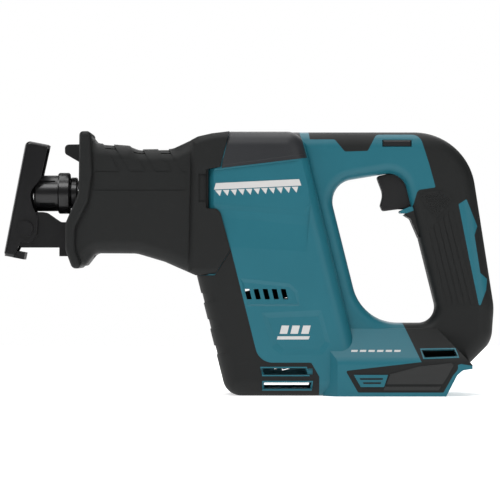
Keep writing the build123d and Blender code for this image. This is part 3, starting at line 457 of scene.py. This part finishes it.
def drape(mesh, tree, side, sink, height):
    """Lays a mesh drawn flat in the side view on a surface: y 0 sinks into it, y 1 stands proud of it."""
    for v in mesh.vertices:
        hit, normal = spot_on(tree, side, v.co.x, v.co.z)
        v.co = hit + normal * (height * v.co.y - sink * (1 - v.co.y))
    mesh.update()


def cut_cells(form, step):
    """Cuts a flat mesh in the side view into square cells."""
    for axis in (0, 2):
        low = min(v.co[axis] for v in form.verts)
        high = max(v.co[axis] for v in form.verts)
        normal = (1, 0, 0) if axis == 0 else (0, 0, 1)
        for k in range(1, int((high - low) / step) + 1):
            place = [0, 0, 0]
            place[axis] = low + k * step
            geometry = form.verts[:] + form.edges[:] + form.faces[:]
            bmesh.ops.bisect_plane(form, geom=geometry, plane_co=place, plane_no=normal)


def flat_plate(outlines, step=0.002, holes=(), wells=()):
    """Closed thin plate in the side view, cut into small cells so that it can be draped.

    Outlines are in millimetres. A hole goes with the outline of the same place in the list, and has
    as many corners. Cells over a well are left out.
    """
    form = bmesh.new()
    for k, outline in enumerate(outlines):
        ring = [form.verts.new((x * MM, 0, z * MM)) for x, z in outline]
        if k < len(holes):
            inner = [form.verts.new((x * MM, 0, z * MM)) for x, z in holes[k]]
            for i in range(len(ring)):
                j = (i + 1) % len(ring)
                form.faces.new((ring[i], ring[j], inner[j], inner[i]))
        else:
            form.faces.new(ring)
    cut_cells(form, step)
    for x, z, radius in wells:
        middle = Vector((x * MM, 0, z * MM))
        covered = [f for f in form.faces if (f.calc_center_median() - middle).length < radius * MM]
        bmesh.ops.delete(form, geom=covered, context="FACES")
    bmesh.ops.triangulate(form, faces=form.faces[:])
    raised = bmesh.ops.extrude_face_region(form, geom=form.faces[:])
    for v in raised["geom"]:
        if isinstance(v, bmesh.types.BMVert):
            v.co.y = 1.0
    bmesh.ops.recalc_face_normals(form, faces=form.faces[:])
    mesh = bpy.data.meshes.new("plate")
    form.to_mesh(mesh)
    form.free()
    return mesh


def outward(mesh):
    """Turns every face of a closed mesh outwards."""
    form = bmesh.new()
    form.from_mesh(mesh)
    bmesh.ops.recalc_face_normals(form, faces=form.faces[:])
    form.to_mesh(mesh)
    form.free()


def draped_piece(name, outlines, nodes, side, sink, height, material, slot, step=0.002, wells=()):
    """Thin plate laid on the outside of some CAD nodes."""
    mesh = flat_plate(outlines, step, wells=wells)
    drape(mesh, surface_of(*nodes), side, sink, height)
    outward(mesh)
    mesh.name = name
    return new_piece(name, mesh, material)


SIDES = (("left", -1), ("right", 1))


# ------------------------------------------------------------------ printed marks
def saw_mark():
    """A long bar with teeth below it: a plain saw blade, as polygons in millimetres."""
    bar = [(-25, 158.6), (37, 161.6), (38.6, 156.8), (-26.4, 153.8)]
    teeth = []
    for k in range(11):
        x = -25.6 + k * 5.7
        z = 153.2 + k * 5.7 * 0.0462
        teeth.append([(x, z), (x + 4.9, z + 0.23), (x + 3.6, z - 4.3)])
    return [bar] + teeth


def motor_mark():
    """Three slanted blocks over a bar, as polygons in millimetres."""
    blocks = []
    for k in range(3):
        x = 24.0 + k * 8.0
        blocks.append([(x, 52.6), (x + 5.6, 52.6), (x + 4.0, 46.4), (x - 1.6, 46.4)])
    blocks.append([(21.0, 44.6), (45.0, 44.6), (44.0, 42.2), (20.4, 42.2)])
    return blocks


def dash_mark():
    """A row of short dashes, as polygons in millimetres."""
    return [
        [(x, 34.4), (x + 4.6, 34.4), (x + 4.2, 33.0), (x - 0.4, 33.0)]
        for x in (76, 82.4, 88.8, 95.2, 101.6, 108)
    ]


class SAW_OT_marks(Operator):
    """Prints the plain marks on both sides of the shell"""

    bl_idname = "saw.marks"
    bl_label = "Printed marks"

    def execute(self, context):
        s = sizes()
        ink = textured(
            "printed_ink", tuple(s.mark), 0.5, size=0.0004, depth=0.000004, mottle=0.03, scuff=0.0
        )
        marks = {"saw_mark": saw_mark(), "motor_mark": motor_mark(), "dash_mark": dash_mark()}
        for word, side in SIDES:
            for name, polygons in marks.items():
                draped_piece(
                    f"{name}_{word}",
                    polygons,
                    [f"housing_{word}"],
                    side,
                    s.mark_lift,
                    s.mark_lift,
                    ink,
                    "insulator_white",
                )
        return {"FINISHED"}


# ------------------------------------------------------------------ grip
def inside(x, z, ring):
    """Whether a point lies inside a polygon."""
    odd = False
    for (x0, z0), (x1, z1) in zip(ring, ring[1:] + ring[:1]):
        if (z0 > z) != (z1 > z) and x < x0 + (z - z0) * (x1 - x0) / (z1 - z0):
            odd = not odd
    return odd


THUMB_PATCH = [
    (127.6, 149.0), (132.0, 152.6), (144.8, 153.4), (153.0, 147.2), (140.6, 132.8), (133.8, 138.8)
]
STUD_FIELD = [
    (129.0, 148.6), (132.6, 151.5), (144.2, 152.2), (151.2, 147.0), (140.5, 134.6), (134.8, 139.6)
]
GRIP_LEAN = math.tan(math.radians(14))
GRIP_WELL = (158, 95, 4.6)  # a screw's place on the right side, and how far ribs keep off it
SINK = 0.0002  # how deep a laid piece reaches into what it lies on
LOW_RELIEF = 0.0005
STUD_HEIGHT = 0.0004


def grip_ribs():
    """Ribs that run down the grip between the patch and the inlay, as polygons in millimetres."""
    ribs = []
    low = 68.0
    for k in range(sizes().rib_count):
        floor_x = 165.4 + 4.4 * k
        top = 5.0 + 0.72 * floor_x
        ribs.append(
            [
                (floor_x - top * GRIP_LEAN, top),
                (floor_x + 3.1 - top * GRIP_LEAN, top + 2.4),
                (floor_x + 3.1 - low * GRIP_LEAN, low),
                (floor_x - low * GRIP_LEAN, low),
            ]
        )
    return ribs


def stud_tree():
    """Geometry nodes that stand a six-sided stud on every point, along the point's own normal."""
    tree = bpy.data.node_groups.new("patch_studs", "GeometryNodeTree")
    group_socket(tree, "Points", "NodeSocketGeometry")
    group_socket(tree, "Stud radius", "NodeSocketFloat", 0.0009)
    group_socket(tree, "Stud height", "NodeSocketFloat", 0.0005)
    group_socket(tree, "Finish", "NodeSocketMaterial")
    group_socket(tree, "Studs", "NodeSocketGeometry", way="OUTPUT")
    given = tree.nodes.new("NodeGroupInput")
    result = tree.nodes.new("NodeGroupOutput")
    cone = tree.nodes.new("GeometryNodeMeshCone")
    cone.inputs["Vertices"].default_value = 6
    tree.links.new(given.outputs["Stud radius"], cone.inputs["Radius Bottom"])
    tree.links.new(maths(tree, "MULTIPLY", given.outputs["Stud radius"], 0.55), cone.inputs["Radius Top"])
    tree.links.new(given.outputs["Stud height"], cone.inputs["Depth"])
    normal = tree.nodes.new("GeometryNodeInputNamedAttribute")
    normal.data_type = "FLOAT_VECTOR"
    normal.inputs["Name"].default_value = "outwards"
    turn = tree.nodes.new("FunctionNodeAlignRotationToVector")
    turn.axis = "Z"
    tree.links.new(normal.outputs["Attribute"], turn.inputs["Vector"])
    place = tree.nodes.new("GeometryNodeInstanceOnPoints")
    tree.links.new(given.outputs["Points"], place.inputs["Points"])
    tree.links.new(cone.outputs["Mesh"], place.inputs["Instance"])
    tree.links.new(turn.outputs["Rotation"], place.inputs["Rotation"])
    real = tree.nodes.new("GeometryNodeRealizeInstances")
    tree.links.new(place.outputs["Instances"], real.inputs["Geometry"])
    finish = tree.nodes.new("GeometryNodeSetMaterial")
    tree.links.new(real.outputs["Geometry"], finish.inputs["Geometry"])
    tree.links.new(given.outputs["Finish"], finish.inputs["Material"])
    tree.links.new(finish.outputs["Geometry"], result.inputs["Studs"])
    return tree


def grown(name, tree, points, normals, values):
    """Runs a geometry node tree on points, and returns its result as a plain mesh."""
    seed = bpy.data.meshes.new(name)
    seed.from_pydata(points, [], [])
    outwards = seed.attributes.new("outwards", "FLOAT_VECTOR", "POINT")
    for k, normal in enumerate(normals):
        outwards.data[k].vector = normal
    holder = bpy.data.objects.new(name, seed)
    bpy.context.scene.collection.objects.link(holder)
    modifier = holder.modifiers.new("grow", "NODES")
    modifier.node_group = tree
    for item in tree.interface.items_tree:
        if item.in_out == "INPUT" and item.name in values:
            modifier[item.identifier] = values[item.name]
    mesh = bpy.data.meshes.new_from_object(holder.evaluated_get(bpy.context.evaluated_depsgraph_get()))
    holder.modifiers.clear()
    bpy.data.objects.remove(holder)
    mesh.name = name
    return mesh


class SAW_OT_grip(Operator):
    """Adds the grip's studded patches and its ribs"""

    bl_idname = "saw.grip"
    bl_label = "Grip texture"

    def execute(self, context):
        s = sizes()
        rubber = bpy.data.materials["moulded_rubber"]
        tree = stud_tree()
        pitch = s.stud_size / MM
        for word, side in SIDES:
            surface = surface_of(f"grip_{word}")
            points, normals = [], []
            for row in range(14):
                for column in range(18):
                    x = 126 + (column + 0.5 * (row % 2)) * pitch
                    z = 132 + row * pitch * 0.866
                    if inside(x, z, STUD_FIELD):
                        point, normal = spot_on(surface, side, x * MM, z * MM)
                        points.append(point + normal * STUD_HEIGHT)
                        normals.append(normal)
            laid = ([f"grip_{word}"], side, SINK, LOW_RELIEF, rubber, "black_rubber")
            draped_piece(f"thumb_patch_{word}", [THUMB_PATCH], *laid)
            values = {"Stud radius": s.stud_size * 0.46, "Stud height": STUD_HEIGHT, "Finish": rubber}
            studs = f"patch_studs_{word}"
            new_piece(studs, grown(studs, tree, points, normals, values), None)
            wells = [GRIP_WELL] if side == 1 else []
            draped_piece(f"grip_ribs_{word}", grip_ribs(), *laid, 0.001, wells)
        return {"FINISHED"}


# ------------------------------------------------------------------ foot
FOOT_PANEL = [
    (104.6, 16.6), (126.2, 22.4), (149.8, 25.0), (151.4, 23.2), (146.8, 14.6), (143.2, 9.2), (101.6, 9.2)
]
FOOT_SILL = [(100.6, 7.4), (142.2, 7.4), (140.4, 4.6), (99.4, 4.6)]
FOOT_BADGE = [(77.4, 16.1), (102.8, 16.1), (99.8, 7.1), (82.6, 7.1)]
BADGE_BARS = [
    [(81.6, 13.7), (99.2, 13.7), (98.7, 12.5), (82.2, 12.5)],
    [(84.0, 10.6), (97.8, 10.6), (97.4, 9.5), (84.7, 9.5)],
]
BADGE_RELIEF = 0.0006
BARS_RELIEF = 0.0009


class SAW_OT_foot(Operator):
    """Adds the foot pads' brushed panels and their plain badges"""

    bl_idname = "saw.foot"
    bl_label = "Foot panels"

    def execute(self, context):
        paler = tuple(1.15 * c for c in sizes().rubber)
        brushed = textured("brushed_rubber", paler, 0.55, size=0.0009, depth=0.00006, seed=5.0)
        teal = bpy.data.materials["moulded_teal"]
        rubber = bpy.data.materials["moulded_rubber"]
        for word, side in SIDES:
            on = ([f"foot_pad_{word}", f"grip_{word}", f"housing_{word}"], side, SINK)
            panels = [FOOT_PANEL, FOOT_SILL]
            draped_piece(f"foot_panel_{word}", panels, *on, LOW_RELIEF, brushed, "black_rubber")
            draped_piece(f"foot_badge_{word}", [FOOT_BADGE], *on, BADGE_RELIEF, teal, "teal_shell")
            draped_piece(f"badge_bars_{word}", BADGE_BARS, *on, BARS_RELIEF, rubber, "black_rubber")
        return {"FINISHED"}


# ------------------------------------------------------------------ vents
SLOTS = [
    [(9.3, 20.6), (41.5, 20.6), (43.7, 16.2), (10.8, 16.2)],
    [(10.8, 10.1), (46.0, 10.1), (45.2, 5.6), (10.8, 5.6)],
    [(128.2, 34.0), (152.1, 34.4), (154.4, 30.0), (130.4, 29.0)],
]


RIM_OUTSIDE = 1.3  # a rim's outer and inner edges, out from the slot's edge
RIM_INSIDE = 0.35
RIM_SINK = 0.001
RIM_RELIEF = 0.0003
# painted shade: a black sheet behind the grip's slot stands in for the shade deep inside it
GRIP_SHADE_SHEET = [(114, 27.0), (162, 28.6), (162, 42.0), (114, 40.0)]
WEB_THICKNESS = 0.0012


def grown_ring(ring, by):
    """A ring of corners moved out from its middle by a distance on each axis."""
    middle_x = sum(x for x, _ in ring) / len(ring)
    middle_z = sum(z for _, z in ring) / len(ring)
    return [(x + math.copysign(by, x - middle_x), z + math.copysign(by, z - middle_z)) for x, z in ring]


class SAW_OT_rims(Operator):
    """Frames the air slots with thin rims in the shell's colour"""

    bl_idname = "saw.rims"
    bl_label = "Slot rims"

    def execute(self, context):
        teal = bpy.data.materials["moulded_teal"]
        outer = [grown_ring(slot, RIM_OUTSIDE) for slot in SLOTS]
        inner = [grown_ring(slot, RIM_INSIDE) for slot in SLOTS]
        for word, side in SIDES:
            nodes = [f"bumper_{word}", f"grip_{word}", f"housing_{word}"]
            mesh = flat_plate(outer, 0.003, inner)
            drape(mesh, surface_of(*nodes), side, RIM_SINK, RIM_RELIEF)
            outward(mesh)
            mesh.name = f"slot_rims_{word}"
            new_piece(mesh.name, mesh, teal)
        self.shade_sheet()
        return {"FINISHED"}

    def shade_sheet(self):
        """A flat black sheet between the halves, from one screw post to the next, behind the grip's slot:
        it closes the view through, and its black is painted shade for the dark inside of the slot.
        """
        mesh = flat_plate([GRIP_SHADE_SHEET], 0.06)
        for v in mesh.vertices:
            v.co.y = (v.co.y - 0.5) * WEB_THICKNESS
        outward(mesh)
        mesh.name = "grip_slot_web"
        # the sheet's black moulding is painted shade for the inside of the slot
        new_piece(mesh.name, mesh, bpy.data.materials["black_moulding"])


# ------------------------------------------------------------------ stage
FRAME_MARGIN = 500 / 491  # width of the view over the tool's length


class SAW_OT_stage(Operator):
    """Sets the pale floor, the soft lights, the white surroundings and the camera"""

    bl_idname = "saw.stage"
    bl_label = "Stage"

    def execute(self, context):
        self.floor()
        self.light("key_light", (-0.5, -1.2, 1.5), 0.9, 19)
        self.light("fill_light", (1.2, -1.4, 0.6), 1.2, 5)
        self.light("top_light", (0.05, 0.1, 1.6), 1.2, 14)
        self.light("rim_light", (-1.4, 0.4, 0.6), 0.8, 8)
        self.light("back_light", (0.4, 1.4, 1.3), 1.2, 10)
        self.world(context)
        context.scene.view_settings.view_transform = "Standard"
        self.camera()
        return {"FINISHED"}

    def floor(self):
        """A flat pale floor round the tool, bright enough that its edge melts into the white."""
        mesh = bpy.data.meshes.new("floor")
        reach = 1.2
        corners = [(-reach, -reach, 0), (reach, -reach, 0), (reach, reach, 0), (-reach, reach, 0)]
        mesh.from_pydata(corners, [], [(0, 1, 2, 3)])
        sheet = bpy.data.objects.new("floor", mesh)
        bpy.context.scene.collection.objects.link(sheet)
        paper = textured(
            "pale_floor", (0.9, 0.9, 0.9), 0.8, size=0.01, depth=0.0, mottle=0.01, scuff=0.0
        )
        glow = paper.node_tree.nodes["Principled BSDF"]
        glow.inputs["Emission Color"].default_value = (1, 1, 1, 1)
        glow.inputs["Emission Strength"].default_value = 0.55
        mesh.materials.append(paper)

    def world(self, context):
        """Soft dim light from all round, with plain white where the camera looks past the tool."""
        world = bpy.data.worlds.new("studio")
        context.scene.world = world
        world.use_nodes = True
        tree = world.node_tree
        glow = tree.nodes["Background"]
        glow.inputs["Color"].default_value = (1, 1, 1, 1)
        glow.inputs["Strength"].default_value = 0.13
        white = tree.nodes.new("ShaderNodeBackground")
        white.inputs["Color"].default_value = (1, 1, 1, 1)
        ray = tree.nodes.new("ShaderNodeLightPath")
        mix = tree.nodes.new("ShaderNodeMixShader")
        tree.links.new(ray.outputs["Is Camera Ray"], mix.inputs["Fac"])
        tree.links.new(glow.outputs["Background"], mix.inputs[1])
        tree.links.new(white.outputs["Background"], mix.inputs[2])
        tree.links.new(mix.outputs["Shader"], tree.nodes["World Output"].inputs["Surface"])

    def light(self, name, place, size, power):
        data = bpy.data.lights.new(name, "AREA")
        data.shape = "DISK"
        data.size = size
        data.energy = power
        lamp = bpy.data.objects.new(name, data)
        bpy.context.scene.collection.objects.link(lamp)
        lamp.location = place
        aim = Vector((0, 0, 0.1)) - Vector(place)
        lamp.rotation_euler = aim.to_track_quat("-Z", "Y").to_euler()

    def camera(self):
        """Square on to the left side, from far enough to be nearly flat."""
        low, high = CAD_BOX
        width = (high[0] - low[0]) * FRAME_MARGIN
        away = 2.4
        data = bpy.data.cameras.new("camera")
        data.sensor_width = 36
        data.lens = 36 * away / width
        eye = bpy.data.objects.new("camera", data)
        bpy.context.scene.collection.objects.link(eye)
        eye.location = (0.0004, -0.02 - away, 0.1088)
        eye.rotation_euler = (math.radians(90), 0, 0)
        bpy.context.scene.camera = eye


class SAW_PT_panel(Panel):
    """Lists the saw's pieces in the sidebar"""

    bl_label = "Saw"
    bl_space_type = "VIEW_3D"
    bl_region_type = "UI"
    bl_category = "Saw"

    def draw(self, context):
        for prop in SawSizes.__annotations__:
            self.layout.prop(context.scene.saw_sizes, prop)
        for operator in OPERATORS:
            self.layout.operator(operator.bl_idname)


OPERATORS = (SAW_OT_finishes, SAW_OT_marks, SAW_OT_grip, SAW_OT_foot, SAW_OT_rims, SAW_OT_stage)
CLASSES = (SawSizes, *OPERATORS, SAW_PT_panel)


def register():
    for made in CLASSES:
        bpy.utils.register_class(made)
    bpy.types.Scene.saw_sizes = PointerProperty(type=SawSizes)


def unregister():
    del bpy.types.Scene.saw_sizes
    for made in reversed(CLASSES):
        bpy.utils.unregister_class(made)


def main():
    register()
    bpy.ops.saw.finishes()
    bpy.ops.saw.marks()
    bpy.ops.saw.grip()
    bpy.ops.saw.foot()
    bpy.ops.saw.rims()
    bpy.ops.saw.stage()


if __name__ == "__main__":
    main()
